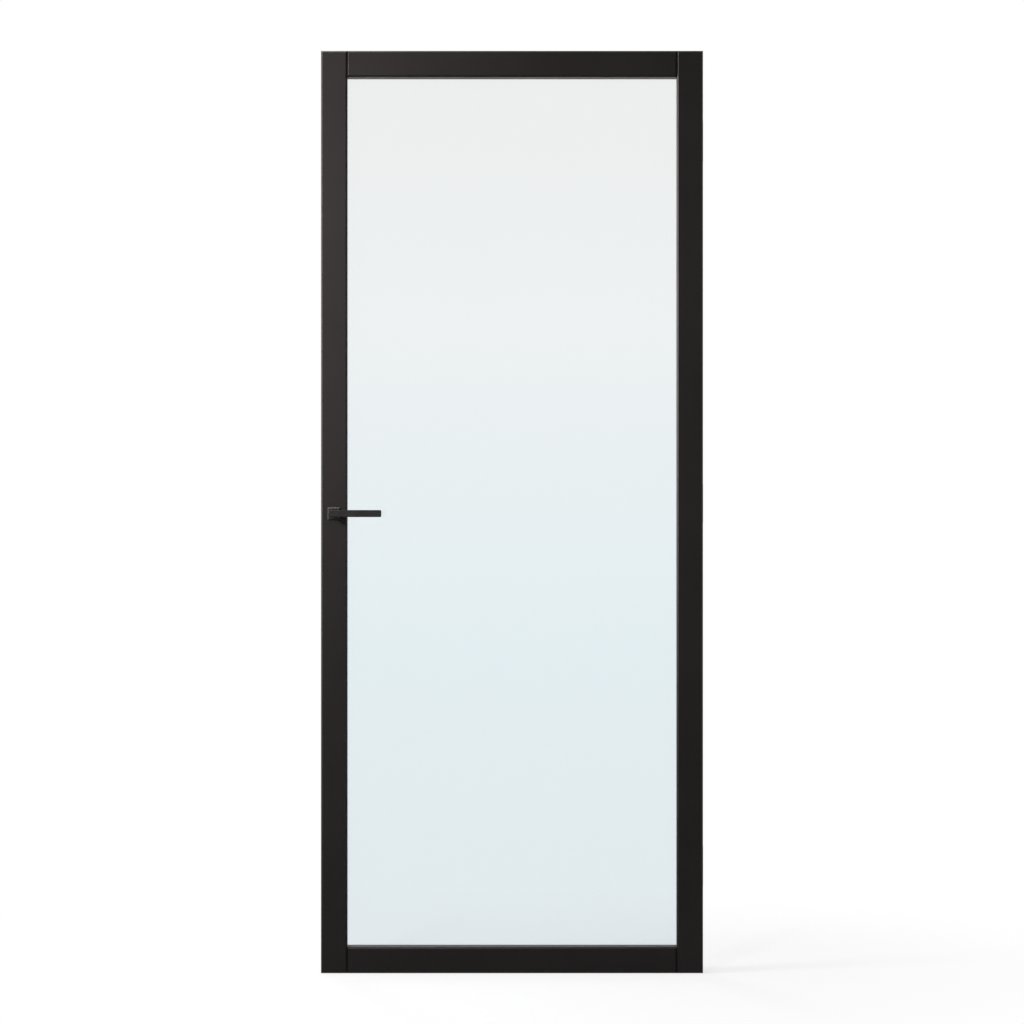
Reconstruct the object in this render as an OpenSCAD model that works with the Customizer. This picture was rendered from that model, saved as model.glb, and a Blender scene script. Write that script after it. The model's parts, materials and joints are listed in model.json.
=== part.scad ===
// Interior glass door leaf: slim stile-and-rail frame, one pane, lever handle, magnetic lock, butt hinges.
// Millimetres. Origin at the bottom centre of the leaf, X to the right, Y away from the viewer, Z up.

/* [Leaf] */
// Width of the leaf
leaf_w = 876; // [700:1:1000]
// Height of the leaf
leaf_h = 2115; // [1950:1:2400]
// Thickness of the leaf
leaf_t = 40; // [38:1:50]
// Face width of both stiles
stile_w = 60; // [60:1:90]
// Face height of both rails
rail_h = 60; // [56:1:120]
// Width of the bevels along the edges of stiles and rails
edge_bevel = 3.5; // [2:0.5:4]

/* [Glazing] */
// Thickness of the fixed lip in front of the glass
lip_t = 15.5; // [12:0.5:17]
// How far the rebate reaches in behind the sight line
rebate_w = 12; // [11:0.5:13]
// Thickness of the pane
glass_t = 5; // [4:1:8]
// Thickness of the glazing tape on each side
tape_t = 2; // [1:0.5:3]
// How far a tape lies back from the edge that covers it
tape_back = 1; // [0.5:0.5:2]
// How far the beads lie behind the sight line
bead_back = 3; // [2:0.5:4]
// Radius of the eased edges of a bead
bead_arris = 1.5; // [1:0.5:2]
// Room between the pane's edge and the rebate
edge_gap = 3; // [2:0.5:4]
// Length of one setting block
block_l = 80; // [40:5:100]
// Middle of the leaf to a block at the top or the bottom
end_block_at = 195; // [150:5:240]
// End of the leaf to a block at the side
side_block_at = 420; // [300:10:500]
// Radius of a bead pin
bead_pin_r = 0.7; // [0.5:0.1:1]
// Length of a bead pin
bead_pin_l = 24; // [20:1:25]
// How deep the pin heads are sunk
bead_pin_sink = 0.8; // [0.4:0.2:2]
// Room around a bead pin
bead_pin_fit = 0.1; // [0.05:0.05:0.2]
// Bead pins along each side
side_pins = 8; // [4:1:12]
// Bead pins along the top and the bottom
end_pins = 3; // [2:1:5]

/* [Corner joints] */
// Radius of a corner dowel
dowel_r = 5; // [4:0.5:5]
// Length of a corner dowel
dowel_l = 80; // [60:2:84]
// Room around a dowel
dowel_fit = 0.1; // [0.05:0.05:0.2]
// Room at the end of a dowel
dowel_end = 1; // [0.5:0.5:2]
// Outer edge of a rail to its first dowel
dowel_first = 13.5; // [12:0.5:15]
// Outer edge of a rail to its second dowel
dowel_second = 34.5; // [32:0.5:36]

/* [Handle] */
// Height of the spindle above the bottom of the leaf
handle_z = 1054; // [900:1:1150]
// Height of the lever's bar
lever_h = 16; // [16:1:20]
// Thickness of the lever's bar
lever_t = 11; // [11:0.5:14]
// Spindle to the tip of the front lever
lever_reach = 112; // [90:1:140]
// Spindle to the tip of the rear lever
rear_lever_reach = 98; // [90:1:140]
// How far the lever stands out from the leaf
lever_out = 56; // [48:1:65]
// Radius of the lever's edges
lever_arris = 1.5; // [1:0.1:2]
// Radius of the two corners at a lever's tip
lever_tip_r = 3; // [2:0.5:4]
// Side of the square rose
rose_w = 28; // [28:1:40]
// Thickness of the rose
rose_t = 7; // [6:0.5:10]
// Width of the bevel around a rose's face
rose_bevel = 2; // [1.5:0.1:2.2]
// Radius of a rose's four corners
rose_corner = 0.8; // [0.5:0.1:1.2]
// Wall of the rose cover
rose_wall = 1.5; // [1.4:0.1:1.6]
// Side of the square spindle
spindle_w = 8; // [7:0.5:8]
// Room around the spindle in its square holes
spindle_fit = 0.05; // [0.02:0.01:0.1]
// Radius of the lever's round neck inside the rose
collar_r = 8; // [7:0.5:8]
// Running clearance of the neck in its bush
collar_fit = 0.05; // [0.02:0.01:0.1]
// Wall of the neck bush
bush_wall = 1.5; // [1:0.1:1.5]
// Radius of a grub screw
grub_r = 2.5; // [2:0.5:2.5]
// Room around a grub screw
grub_fit = 0.05; // [0.02:0.01:0.1]
// Rose to the middle of the grub screw
grub_out = 9; // [8:0.5:10]
// Width of the grub screw's socket
grub_socket = 2.9; // [2.5:0.1:3]
// Depth of the grub screw's socket
grub_socket_d = 1.6; // [1.2:0.1:2]
// How far the grub screw lies behind the neck's underside
grub_sink = 0.2; // [0.1:0.1:0.5]
// How far the round neck shows in front of the rose
collar_show = 1.2; // [0.8:0.1:2]
// How far the round neck ends short of the stile
collar_start = 1; // [0.5:0.1:1.5]
// Room between the neck and the rose cover
cover_fit = 0.5; // [0.3:0.1:0.6]
// Room between the rose's base and its cover
base_fit = 0.2; // [0.1:0.05:0.3]
// Radius of a rose screw
rose_screw_r = 1.3; // [1.2:0.1:1.5]
// Radius of a rose screw's head
rose_head_r = 2.4; // [2.2:0.1:2.5]
// Rose screw in the stile
rose_screw_in = 9; // [7:0.5:9]
// Rose screw to the edge of the rose's base
rose_screw_edge = 2.9; // [2.7:0.1:3]
// Wall of the lever beyond the spindle's end
spindle_cap = 3; // [2:0.5:4]

/* [Lock] */
// Edge of the leaf to the spindle
backset = 30; // [29:1:34]
// Width of the forend
forend_w = 20; // [18:1:24]
// Height of the forend
forend_h = 140; // [130:1:170]
// Thickness of the forend
forend_t = 3; // [2:0.5:3]
// Room around the forend in the stile
forend_fit = 0.15; // [0.1:0.05:0.3]
// Radius of a forend screw
forend_screw_r = 1.9; // [1.7:0.1:2]
// Radius of a forend screw's head
forend_head_r = 3.4; // [3.2:0.1:3.6]
// Length of a forend screw
forend_screw_l = 28; // [25:1:29]
// Forend screw to the end of the forend
forend_screw_end = 10; // [8:1:11]
// Height of the forend's middle above the spindle
forend_up = 8; // [6:1:10]
// Thickness of the lock case
case_t = 14; // [14:0.5:15]
// Wall of the lock case
case_wall = 1.5; // [1:0.1:1.6]
// Top of the case above the spindle
case_up = 46; // [44:1:48]
// Bottom of the case below the spindle
case_down = 30; // [28:1:32]
// Spindle to the inner end of the case
case_deep = 11; // [11:0.5:12]
// Room around the case in the stile
case_room = 0.5; // [0.3:0.1:1]
// Room behind the case in the stile
case_end = 1; // [0.5:0.1:1.5]
// Radius of a post in the case
case_post_r = 3; // [2.8:0.1:3.2]
// Post to the edges of the case
case_post_in = 5; // [4.5:0.1:5.5]
// Edge of the leaf to the front post
case_post_near = 9; // [8.5:0.1:10]
// Radius of a cover screw
cover_screw_r = 1.3; // [1.2:0.1:1.4]
// Radius of a cover screw's head
cover_head_r = 2.2; // [2:0.1:2.3]
// Length of a cover screw
cover_screw_l = 9; // [7:0.5:9.5]
// Height of the bolt's head
bolt_h = 18; // [16:1:18]
// Height of the bolt's middle above the spindle
bolt_up = 25; // [25:1:27]
// Travel of the bolt
bolt_travel = 9.5; // [8:0.5:10]
// Room around the bolt
bolt_fit = 0.4; // [0.3:0.1:0.6]
// Radius of the bolt head's edges
bolt_arris = 1.5; // [1:0.1:2]
// How far the resting bolt lies behind the forend
bolt_rest = 0.3; // [0.2:0.1:0.5]
// Thickness of the bolt's lug
lug_l = 2.6; // [2.4:0.1:2.8]
// Width of the bolt's lug
lug_w = 5; // [4:0.5:6]
// Room left in front of the lug with the bolt out
lug_room = 2; // [1.5:0.1:2.2]
// Length of the bolt behind its lug
bolt_end = 1.4; // [1:0.1:1.6]
// Radius of the follower's hub
hub_r = 9; // [8.5:0.1:9]
// Radius of the follower's journals
journal_r = 7; // [6.5:0.1:7.5]
// Running clearance of the journals
journal_fit = 0.06; // [0.02:0.01:0.1]
// Spindle to the middle of a horn's tip
horn_l = 11.5; // [11.5:0.1:12]
// Width of a horn
horn_w = 4.4; // [4:0.2:4.4]
// Half the thickness of the follower's hub
hub_half = 4.6; // [4.2:0.1:4.8]
// How far the journals stand out of the case
journal_out = 0.4; // [0.2:0.1:0.5]
// Lower end of the lug below the horn's middle
lug_drop = 3; // [2.5:0.1:3.2]
// Radius of the follower spring
follower_spring_r = 1.8; // [1.6:0.1:2]
// Radius of the follower spring's wire
follower_wire_r = 0.45; // [0.4:0.05:0.5]
// Turns of the follower spring
follower_turns = 9; // [8:1:10]
// Radius of the retractor spring
retractor_spring_r = 1.55; // [1.4:0.05:1.6]
// Radius of the retractor spring's wire
retractor_wire_r = 0.35; // [0.3:0.05:0.4]
// Turns of the retractor spring
retractor_turns = 7; // [6:1:8]
// Room at each end of a spring
spring_end = 0.2; // [0.1:0.05:0.3]

/* [Hinges] */
// Height of a hinge
hinge_h = 89; // [76:1:102]
// Pin axis to the far edge of a plate
hinge_reach = 25; // [24:0.5:26]
// Thickness of a hinge plate
hinge_t = 2.5; // [2.5:0.1:3]
// Gap between the two closed plates
hinge_gap = 0.5; // [0.4:0.1:1]
// Radius of the knuckles
knuckle_r = 5.5; // [5.5:0.1:6]
// Radius of the pin
pin_r = 3; // [2.5:0.1:3.5]
// Running clearance of the pin
pin_fit = 0.05; // [0.02:0.01:0.1]
// Thickness of a bearing ring
ring_t = 2; // [1.5:0.1:3]
// Gap between a knuckle and its neighbour
knuckle_gap = 0.4; // [0.3:0.1:0.6]
// Radius of the head at each end of a pin
pin_head_r = 4.6; // [4:0.1:5]
// Hanging gap between the leaf and the jamb
hang_gap = 2; // [2:0.1:3]
// Middle of the top hinge below the top of the leaf
top_hinge_down = 200; // [160:1:260]
// Middle of the bottom hinge above the bottom of the leaf
bottom_hinge_up = 240; // [180:1:280]
// Radius of the screw holes in the plates
hinge_hole_r = 2.25; // [2:0.05:2.25]
// Radius of the countersinks in the plates
hinge_sink_r = 3.75; // [3.5:0.05:3.75]
// Distance between the two holes that lie further apart
wide_holes = 66; // [60:1:68]
// Distance between the two holes that lie closer together
close_holes = 26; // [22:1:30]
// Pin axis to the two holes away from it
far_row = 19; // [18.5:0.1:19.5]
// Pin axis to the two holes near it
near_row = 12; // [11.5:0.1:12]
// Length of a hinge screw
hinge_screw_l = 25; // [20:1:26]
// Radius of a hinge screw
hinge_screw_r = 2.1; // [1.9:0.05:2.1]
// Radius of a hinge screw's head
hinge_head_r = 3.6; // [3.4:0.05:3.6]
// Thickness of a pin's head
pin_head_t = 2; // [1.5:0.1:2.5]
// Gap between a pin's head and the knuckle
pin_head_gap = 0.2; // [0.1:0.1:0.4]
// How much a bearing ring is smaller than the knuckles
ring_step = 0.3; // [0.2:0.1:0.5]
// Room between the knuckles and the back of the leaf
knuckle_off = 0.3; // [0.2:0.1:0.6]
// Room around a knuckle in the other plate
knuckle_room = 0.6; // [0.5:0.1:0.8]
// Room around a plate in its recess
plate_room = 0.5; // [0.2:0.1:0.6]

/* [Screws] */
// Room around a screw in its hole
screw_fit = 0.1; // [0.05:0.05:0.15]
// How far a screw's head lies below the face
screw_sit = 0.1; // [0.05:0.05:0.2]
// Depth of a hole beyond the end of its screw
hole_end = 0.5; // [0.3:0.1:1]
// Radius of a wood screw's point
screw_tip = 0.2; // [0.1:0.1:0.4]

/* [Hidden] */
$fn = 48;
eps = 1;
front_y = -leaf_t / 2;
back_y = leaf_t / 2;
edge_x = -leaf_w / 2;
lip_y = front_y + lip_t;
open_w = leaf_w - 2 * stile_w;
open_h = leaf_h - 2 * rail_h;
pane_in = rebate_w - edge_gap;
pane_w = open_w + 2 * pane_in;
pane_h = open_h + 2 * pane_in;
pane_y = lip_y + tape_t;
bead_y = pane_y + glass_t + tape_t;
bead_t = back_y - bead_y;
bead_up = rebate_w - bead_back;
bead_mid = (bead_y + back_y) / 2;
bead_w = open_w + 2 * rebate_w;
bead_h = open_h + 2 * rebate_w;
leaf_mid = leaf_h / 2;
dowel_y = (lip_y + back_y) / 2;
rail_back = rail_h - rebate_w;
dowel_rows = [dowel_first, dowel_second];
spindle_x = edge_x + backset;
bore_r = collar_r + bush_wall + case_room;
base_w = rose_w - 2 * rose_wall - 2 * base_fit;
base_t = rose_t - rose_wall - 2 * base_fit;
rose_screw_at = base_w / 2 - rose_screw_edge;
rose_screw_l = base_t + rose_screw_in;
collar_end = rose_t + collar_show;
lever_mid = lever_out - lever_t / 2;
spindle_end = lever_out - lever_t - spindle_cap;
grub_at = rose_t + grub_out;
case_in = forend_t;
case_back = backset + case_deep;
case_half = case_t / 2;
cover_sink = cover_head_r - cover_screw_r + screw_fit;
post_root = case_wall / 2;
forend_sink = forend_head_r - forend_screw_r + screw_fit;
case_inner = case_half - case_wall;
bolt_half = case_inner - bolt_fit;
bolt_low = bolt_up - bolt_h / 2;
lug_u = case_in + case_wall + bolt_travel + lug_room;
bolt_tail = lug_u + lug_l + bolt_end;
lug_low = horn_l - lug_drop;
case_posts = [
    [case_post_near, case_post_in - case_down],
    [case_back - case_post_in, case_post_in - case_down],
    [case_back - case_post_in, case_up - case_post_in]];
forend_screws_at = [forend_up - forend_h / 2 + forend_screw_end, forend_up + forend_h / 2 - forend_screw_end];
axis_x = leaf_w / 2 + hang_gap - hinge_t - hinge_gap / 2;
axis_y = back_y + knuckle_r + knuckle_off;
recess_x = leaf_w / 2 + hang_gap - 2 * hinge_t - hinge_gap;
knuckle_pitch = hinge_h / 5;
bottom_hinge_z = bottom_hinge_up - hinge_h / 2;
top_hinge_z = leaf_h - top_hinge_down - hinge_h / 2;
middle_hinge_z = (bottom_hinge_z + top_hinge_z) / 2;
door_holes = [
    [axis_y - far_row, (hinge_h - wide_holes) / 2],
    [axis_y - far_row, (hinge_h + wide_holes) / 2],
    [axis_y - near_row, (hinge_h - close_holes) / 2],
    [axis_y - near_row, (hinge_h + close_holes) / 2]
];
frame_holes = [
    [axis_y - far_row, (hinge_h - close_holes) / 2],
    [axis_y - far_row, (hinge_h + close_holes) / 2],
    [axis_y - near_row, (hinge_h - wide_holes) / 2],
    [axis_y - near_row, (hinge_h + wide_holes) / 2]
];
lacquer = [0.05, 0.05, 0.052];
hardware = [0.07, 0.07, 0.072];
steel = [0.62, 0.62, 0.64];
timber = [0.72, 0.58, 0.40];
clear = [0.80, 0.90, 0.92, 0.35];
dark = [0.03, 0.03, 0.03];
nylon = [0.9, 0.9, 0.88];

// Rectangle from the origin with its four corners rounded
module soft_rect(w, h, r) {
    translate([r, 0]) square([w - 2 * r, h]);
    translate([0, r]) square([w, h - 2 * r]);
    for (x = [r, w - r]) {
        for (y = [r, h - r]) {
            translate([x, y]) circle(r = r);
        }
    }
}

// Rectangle from the origin with its four corners cut off
module bevel_rect(w, h, c) {
    polygon([[c, 0], [w - c, 0], [w, c], [w, h - c], [w - c, h], [c, h], [0, h - c], [0, c]]);
}

// Extrudes a shape drawn in Y and Z along X
module along_x(x0, l) {
    translate([x0, 0, 0]) rotate([90, 0, 90]) linear_extrude(l) children();
}

// Extrudes a shape drawn in X and Z along Y
module along_y(y0, l) {
    translate([0, y0 + l, 0]) rotate([90, 0, 0]) linear_extrude(l) children();
}

// Round bar along X from a point
module bar_x(p, r, l) {
    translate(p) rotate([0, 90, 0]) cylinder(r = r, h = l);
}

// Round bar along Y from a point
module bar_y(p, r, l) {
    translate(p) rotate([-90, 0, 0]) cylinder(r = r, h = l);
}

// Countersunk wood screw along Z, its flat head at zero and its point below
module wood_screw(r, head, l) {
    translate([0, 0, r - head]) cylinder(r1 = r, r2 = head, h = head - r);
    translate([0, 0, -l + 2 * r]) cylinder(r = r, h = l - 2 * r - head + r);
    translate([0, 0, -l]) cylinder(r1 = screw_tip, r2 = r, h = 2 * r);
}

// Close-wound wire along X, drawn as a row of points around a helix
module coil(l, r, wire, turns) {
    sides = 6;
    steps = 12 * turns;
    pitch = (l - 2 * wire) / turns;
    lean = atan(pitch / (2 * PI * r));
    pts = [for (i = [0 : steps]) for (k = [0 : sides - 1])
        let (a = 360 * i / 12, b = 360 * k / sides, q = wire * cos(b), s = wire * sin(b))
        [wire + pitch * i / 12 + s * cos(lean),
            (r + q) * cos(a) + s * sin(lean) * sin(a),
            (r + q) * sin(a) - s * sin(lean) * cos(a)]];
    lower = [for (i = [0 : steps - 1]) for (k = [0 : sides - 1])
        [i * sides + k, i * sides + (k + 1) % sides, (i + 1) * sides + k]];
    upper = [for (i = [0 : steps - 1]) for (k = [0 : sides - 1])
        [i * sides + (k + 1) % sides, (i + 1) * sides + (k + 1) % sides, (i + 1) * sides + k]];
    head = [[for (k = [0 : sides - 1]) sides - 1 - k]];
    tail = [[for (k = [0 : sides - 1]) steps * sides + k]];
    polyhedron(points = pts, faces = concat(lower, upper, head, tail), convexity = 8);
}

// Plan of a stile, from its outer edge at zero to the sight line
module stile_plan() {
    translate([0, front_y]) bevel_rect(stile_w - rebate_w, leaf_t, edge_bevel);
    intersection() {
        translate([0, front_y]) bevel_rect(stile_w, leaf_t, edge_bevel);
        translate([-eps, front_y - eps]) square([stile_w + 2 * eps, lip_t + eps]);
    }
}

// Stile blank with its outer edge at X zero
module stile_blank() {
    intersection() {
        linear_extrude(leaf_h) stile_plan();
        along_x(-eps, stile_w + 2 * eps) translate([front_y, 0]) bevel_rect(leaf_t, leaf_h, edge_bevel);
    }
}

// Section of a rail, from its outer edge at zero to the sight line
module rail_section() {
    translate([front_y, 0]) bevel_rect(leaf_t, rail_back, edge_bevel);
    intersection() {
        translate([front_y, 0]) bevel_rect(leaf_t, rail_h, edge_bevel);
        translate([front_y - eps, -eps]) square([lip_t + eps, rail_h + 2 * eps]);
    }
}

// Plan of a rail with its longer rear part, which fills the stiles' rebates
module rail_plan() {
    translate([-open_w / 2, front_y]) bevel_rect(open_w, leaf_t, edge_bevel);
    intersection() {
        translate([-bead_w / 2, front_y]) bevel_rect(bead_w, leaf_t, edge_bevel);
        translate([-leaf_w / 2, lip_y]) square([leaf_w, leaf_t]);
    }
}

// Bottom rail with its dowel and pin holes
module rail() {
    difference() {
        intersection() {
            along_x(-leaf_w / 2, leaf_w) rail_section();
            translate([0, 0, -eps]) linear_extrude(rail_h + 2 * eps) rail_plan();
        }
        for (z = dowel_rows) {
            for (s = [0, 1]) {
                mirror([s, 0, 0])
                    bar_x([bead_w / 2 - dowel_l / 2 - dowel_end, dowel_y, z], dowel_r + dowel_fit, dowel_l);
            }
        }
        end_pin_row(bead_pin_r + bead_pin_fit);
    }
}

// Row of pins through the bottom bead
module end_pin_row(r) {
    for (i = [0 : end_pins - 1]) {
        x = open_w * ((i + 0.5) / end_pins - 0.5);
        translate([x, bead_mid, rail_h - bead_back - bead_pin_sink - bead_pin_l])
            cylinder(r = r, h = bead_pin_l);
    }
}

// Row of pins through the lock side bead, in the stile's own place
module side_pin_row(r) {
    for (i = [0 : side_pins - 1]) {
        z = rail_h + open_h * (i + 0.5) / side_pins;
        bar_x([stile_w - bead_back - bead_pin_sink - bead_pin_l, bead_mid, z], r, bead_pin_l);
    }
}

// Dowel holes of a stile, in the stile's own place
module stile_dowel_holes() {
    for (z = dowel_rows) {
        for (zz = [z, leaf_h - z]) {
            bar_x([stile_w - rebate_w - dowel_l / 2 - dowel_end, dowel_y, zz], dowel_r + dowel_fit, dowel_l);
        }
    }
}

// Moves to the spindle's height at the lock edge
module at_lock() {
    translate([edge_x, 0, handle_z]) children();
}

// Outline of the forend with its round ends
module forend_shape(w, h) {
    translate([-w / 2, forend_up - h / 2 + w / 2]) square([w, h - w]);
    translate([0, forend_up - h / 2 + w / 2]) circle(d = w);
    translate([0, forend_up + h / 2 - w / 2]) circle(d = w);
}

// Pocket and holes that the lock and the handle need in the stile
module lock_cuts() {
    along_x(-eps, forend_t + eps) forend_shape(forend_w + 2 * forend_fit, forend_h + 2 * forend_fit);
    translate([0, -case_half - case_room, -case_down - case_room])
        cube([case_back + case_end, case_t + 2 * case_room, case_up + case_down + 2 * case_room]);
    bar_y([backset, front_y - eps, 0], bore_r, leaf_t + 2 * eps);
    for (z = forend_screws_at) {
        bar_x([0, 0, z], forend_screw_r + screw_fit, forend_screw_l + 2 * hole_end);
    }
    for (s = [-1, 1]) {
        for (k = [-1, 1]) {
            y0 = s < 0 ? front_y - eps : back_y - rose_screw_in - hole_end;
            bar_y([backset + k * rose_screw_at, y0, k * rose_screw_at],
                rose_screw_r + screw_fit, rose_screw_in + hole_end + eps);
        }
    }
}

module lock_stile() {
    color(lacquer) translate([edge_x, 0, 0]) difference() {
        stile_blank();
        stile_dowel_holes();
        side_pin_row(bead_pin_r + bead_pin_fit);
        translate([0, 0, handle_z]) lock_cuts();
    }
}

// Recess and pilot holes for one hinge
module hinge_cuts(z) {
    translate([recess_x, axis_y - hinge_reach - plate_room, z - plate_room])
        cube([leaf_w, leaf_t, hinge_h + 2 * plate_room]);
    for (h = door_holes) {
        bar_x([recess_x + hinge_t - hinge_screw_l - hole_end, h[0], z + h[1]],
            hinge_screw_r + screw_fit, hinge_screw_l);
    }
}

module hinge_stile() {
    color(lacquer) difference() {
        translate([-edge_x, 0, 0]) mirror([1, 0, 0]) difference() {
            stile_blank();
            stile_dowel_holes();
            side_pin_row(bead_pin_r + bead_pin_fit);
        }
        hinge_cuts(top_hinge_z);
        hinge_cuts(middle_hinge_z);
        hinge_cuts(bottom_hinge_z);
    }
}

module bottom_rail() {
    color(lacquer) rail();
}

module top_rail() {
    color(lacquer) translate([0, 0, leaf_h]) mirror([0, 0, 1]) rail();
}

module frame_dowels() {
    color(timber) for (z = dowel_rows) {
        for (zz = [z, leaf_h - z]) {
            for (s = [-1, 1]) {
                bar_x([s * bead_w / 2 - dowel_l / 2, dowel_y, zz], dowel_r, dowel_l);
            }
        }
    }
}

module glass_pane() {
    color(clear) translate([-pane_w / 2, pane_y, leaf_mid - pane_h / 2]) cube([pane_w, glass_t, pane_h]);
}

module setting_blocks() {
    low = rail_back;
    high = leaf_h - rail_back - edge_gap;
    color(dark) union() {
        for (s = [-1, 1]) {
            for (z = [low, high]) {
                translate([s * end_block_at - block_l / 2, pane_y, z]) cube([block_l, glass_t, edge_gap]);
            }
        }
        for (x = [-bead_w / 2, bead_w / 2 - edge_gap]) {
            for (z = [side_block_at, leaf_h - side_block_at]) {
                translate([x, pane_y, z - block_l / 2]) cube([edge_gap, glass_t, block_l]);
            }
        }
    }
}

// Four strips of tape around the pane's edge, covered up to that far behind the sight line
module tape_strips(y, cover_back) {
    w = pane_in - cover_back - tape_back;
    for (x = [-pane_w / 2, pane_w / 2 - w]) {
        translate([x, y, leaf_mid - pane_h / 2]) cube([w, tape_t, pane_h]);
    }
    for (z = [leaf_mid - pane_h / 2, leaf_mid + pane_h / 2 - w]) {
        translate([-pane_w / 2 + w, y, z]) cube([pane_w - 2 * w, tape_t, w]);
    }
}

module front_glazing_tape() {
    color(dark) tape_strips(lip_y, 0);
}

module rear_glazing_tape() {
    color(dark) tape_strips(bead_y - tape_t, bead_back);
}

// Section of a bead, from the rebate at zero to its face
module bead_section() {
    intersection() {
        translate([bead_y - bead_t, 0]) soft_rect(2 * bead_t, bead_up, bead_arris);
        translate([bead_y, -eps]) square([bead_t + eps, bead_up + 2 * eps]);
    }
}

// Bead along X with mitred ends, lying on the bottom of the rebate
module bead(l) {
    intersection() {
        along_x(-l / 2, l) bead_section();
        along_y(bead_y - eps, bead_t + 2 * eps)
            polygon([[-l / 2, 0], [l / 2, 0], [l / 2 - bead_up, bead_up], [bead_up - l / 2, bead_up]]);
    }
}

module bottom_bead() {
    color(lacquer) difference() {
        translate([0, 0, rail_back]) bead(bead_w);
        end_pin_row(bead_pin_r + bead_pin_fit);
    }
}

module top_bead() {
    color(lacquer) translate([0, 0, leaf_h]) mirror([0, 0, 1]) difference() {
        translate([0, 0, rail_back]) bead(bead_w);
        end_pin_row(bead_pin_r + bead_pin_fit);
    }
}

// Upright bead at the lock side
module side_bead() {
    difference() {
        translate([-bead_w / 2, 0, leaf_mid]) rotate([0, 90, 0]) bead(bead_h);
        translate([edge_x, 0, 0]) side_pin_row(bead_pin_r + bead_pin_fit);
    }
}

module lock_side_bead() {
    color(lacquer) side_bead();
}

module hinge_side_bead() {
    color(lacquer) mirror([1, 0, 0]) side_bead();
}

module bead_pins() {
    color(steel) union() {
        end_pin_row(bead_pin_r);
        translate([0, 0, leaf_h]) mirror([0, 0, 1]) end_pin_row(bead_pin_r);
        translate([edge_x, 0, 0]) side_pin_row(bead_pin_r);
        mirror([1, 0, 0]) translate([edge_x, 0, 0]) side_pin_row(bead_pin_r);
    }
}

// Hollow of the lock case, open towards the cover
module case_hollow() {
    translate([case_in + case_wall, -case_inner, case_wall - case_down])
        cube([case_back - case_in - 2 * case_wall, case_t, case_up + case_down - 2 * case_wall]);
}

module lock_case() {
    color(steel) at_lock() difference() {
        union() {
            difference() {
                translate([case_in, -case_half, -case_down])
                    cube([case_back - case_in, case_t - case_wall, case_up + case_down]);
                case_hollow();
            }
            for (p = case_posts) {
                bar_y([p[0], -case_inner - post_root, p[1]], case_post_r, 2 * case_inner + post_root);
            }
        }
        bar_y([backset, -case_t, 0], journal_r + journal_fit, case_t);
        translate([0, -bolt_half - bolt_fit, bolt_low - bolt_fit])
            cube([case_in + case_wall + eps, 2 * (bolt_half + bolt_fit), bolt_h + 2 * bolt_fit]);
        for (p = case_posts) {
            bar_y([p[0], case_half - cover_screw_l - hole_end, p[1]], cover_screw_r + screw_fit, case_t);
        }
    }
}

module lock_cover() {
    color(steel) at_lock() difference() {
        translate([case_in, case_inner, -case_down])
            cube([case_back - case_in, case_wall, case_up + case_down]);
        bar_y([backset, 0, 0], journal_r + journal_fit, case_t);
        for (p = case_posts) {
            bar_y([p[0], 0, p[1]], cover_screw_r + screw_fit, case_t);
            translate([p[0], case_half - cover_sink, p[1]]) rotate([-90, 0, 0])
                cylinder(r1 = cover_screw_r + screw_fit, r2 = cover_head_r + 2 * screw_fit, h = cover_sink);
        }
    }
}

module lock_cover_screws() {
    head = cover_head_r - cover_screw_r;
    color(steel) at_lock() for (p = case_posts) {
        bar_y([p[0], case_half - cover_screw_l, p[1]], cover_screw_r, cover_screw_l - screw_sit - head);
        translate([p[0], case_half - screw_sit - head, p[1]]) rotate([-90, 0, 0])
            cylinder(r1 = cover_screw_r, r2 = cover_head_r, h = head);
    }
}

module lock_forend() {
    color(hardware) at_lock() difference() {
        along_x(0, forend_t) forend_shape(forend_w, forend_h);
        translate([-eps, -bolt_half - bolt_fit, bolt_low - bolt_fit])
            cube([forend_t + 2 * eps, 2 * (bolt_half + bolt_fit), bolt_h + 2 * bolt_fit]);
        for (z = forend_screws_at) {
            bar_x([-eps, 0, z], forend_screw_r + screw_fit, forend_t + 2 * eps);
            translate([0, 0, z]) rotate([0, 90, 0])
                cylinder(r1 = forend_head_r + 2 * screw_fit,
                    r2 = forend_screw_r + screw_fit, h = forend_sink);
        }
    }
}

module forend_screws() {
    color(hardware) at_lock() for (z = forend_screws_at) {
        translate([screw_sit, 0, z]) rotate([0, -90, 0])
            wood_screw(forend_screw_r, forend_head_r, forend_screw_l);
    }
}

module latch_bolt() {
    color(steel) at_lock() union() {
        intersection() {
            translate([bolt_rest, -bolt_half, bolt_low]) cube([bolt_tail - bolt_rest, 2 * bolt_half, bolt_h]);
            translate([0, 0, bolt_low - eps]) linear_extrude(bolt_h + 2 * eps)
                translate([bolt_rest, -bolt_half]) soft_rect(2 * bolt_tail, 2 * bolt_half, bolt_arris);
        }
        translate([lug_u, -lug_w / 2, lug_low]) cube([lug_l, lug_w, bolt_low - lug_low + eps]);
    }
}

module follower() {
    color(steel) at_lock() translate([backset, 0, 0]) difference() {
        union() {
            bar_y([0, -hub_half, 0], hub_r, 2 * hub_half);
            bar_y([0, -case_half - journal_out, 0], journal_r, case_t + 2 * journal_out);
            translate([-horn_w / 2, -hub_half, -horn_l]) cube([horn_w, 2 * hub_half, 2 * horn_l]);
            for (s = [-1, 1]) {
                bar_y([0, -hub_half, s * horn_l], horn_w / 2, 2 * hub_half);
            }
        }
        square_hole(-case_t, 2 * case_t);
    }
}

module follower_spring() {
    start = case_in + case_wall + spring_end;
    color(steel) at_lock() translate([start, 0, -horn_l])
        coil(backset - horn_w / 2 - spring_end - start, follower_spring_r, follower_wire_r, follower_turns);
}

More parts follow.
